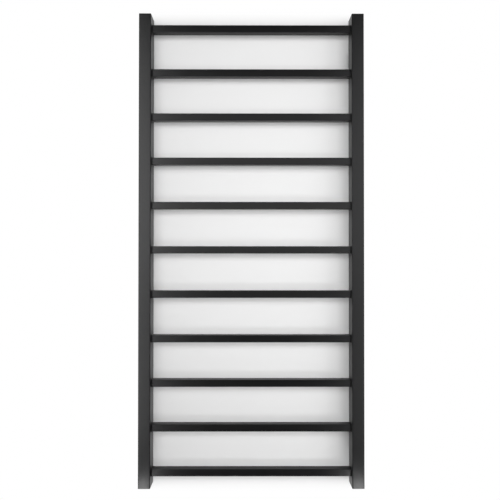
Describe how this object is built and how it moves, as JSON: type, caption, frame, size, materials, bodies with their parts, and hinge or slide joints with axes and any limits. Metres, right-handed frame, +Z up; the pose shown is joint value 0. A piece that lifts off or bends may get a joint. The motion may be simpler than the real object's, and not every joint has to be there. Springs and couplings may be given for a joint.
{
  "type": "towel warmer rack",
  "caption": "Wall-hung electric ladder rack: box-section uprights carry square warming bars, with hidden slide-on wall brackets and a heating cable inside.",
  "frame": {"origin": "on the wall plane, at the centre of the wall screws", "axes": "+X to the right seen from the front, +Y back into the wall, +Z up"},
  "size_m": [0.555, 0.06, 1.1718],
  "materials": {
    "powder_coat": "satin black powder coat on steel tube",
    "bracket_coat": "satin black powder coat on cast zinc",
    "zinc_steel": "zinc-plated steel",
    "silicone_rubber": "matte silicone",
    "moulded_nylon": "moulded nylon",
    "lead_insulation": "smooth insulation",
    "switch_shell": "black anodised",
    "switch_plunger": "fine moulded texture",
    "terminal_brass": "stamped brass"
  },
  "bodies": {
    "wall_brackets": {"wall_bracket_top_left": "bracket_coat", "wall_bracket_top_right": "bracket_coat", "wall_bracket_bottom_left": "bracket_coat", "wall_bracket_bottom_right": "bracket_coat", "grub_screws": "zinc_steel"},
    "rack": {"left_upright": "powder_coat", "right_upright": "powder_coat", "bar_01": "powder_coat", "bar_02": "powder_coat", "bar_03": "powder_coat", "bar_04": "powder_coat", "bar_05": "powder_coat", "bar_06": "powder_coat", "bar_07": "powder_coat", "bar_08": "powder_coat", "bar_09": "powder_coat", "bar_10": "powder_coat", "bar_11": "powder_coat", "top_cap_left": "powder_coat", "top_cap_right": "powder_coat", "bottom_cap_left": "powder_coat", "bottom_cap_right": "powder_coat", "post_top_left": "zinc_steel", "post_top_right": "zinc_steel", "post_bottom_left": "zinc_steel", "post_bottom_right": "zinc_steel", "rivet_nuts": "zinc_steel", "earth_stud": "zinc_steel", "earth_washer": "zinc_steel", "earth_nut": "zinc_steel", "switch_nut": "zinc_steel", "heating_cable": "silicone_rubber", "supply_grommet": "silicone_rubber", "switch_seal": "silicone_rubber", "cold_joint": "moulded_nylon", "cable_end_seal": "moulded_nylon", "thermal_cutout": "moulded_nylon", "neutral_splice": "moulded_nylon", "live_lead": "lead_insulation", "switch_lead": "lead_insulation", "neutral_lead": "lead_insulation", "switch_body": "switch_shell", "switch_terminals": "terminal_brass"},
    "push_button": {"switch_button": "switch_plunger"}
  },
  "joints": [
    {"name": "rack_slide", "type": "slide", "parent": "wall_brackets", "child": "rack", "axis": [0, -1, 0], "range_m": [0, 0.006]},
    {"name": "switch_press", "type": "slide", "parent": "rack", "child": "push_button", "axis": [0, 0, 1], "range_m": [0, 0.0012], "stiffness_N_per_m": 1500, "springref_m": -0.001}
  ]
}
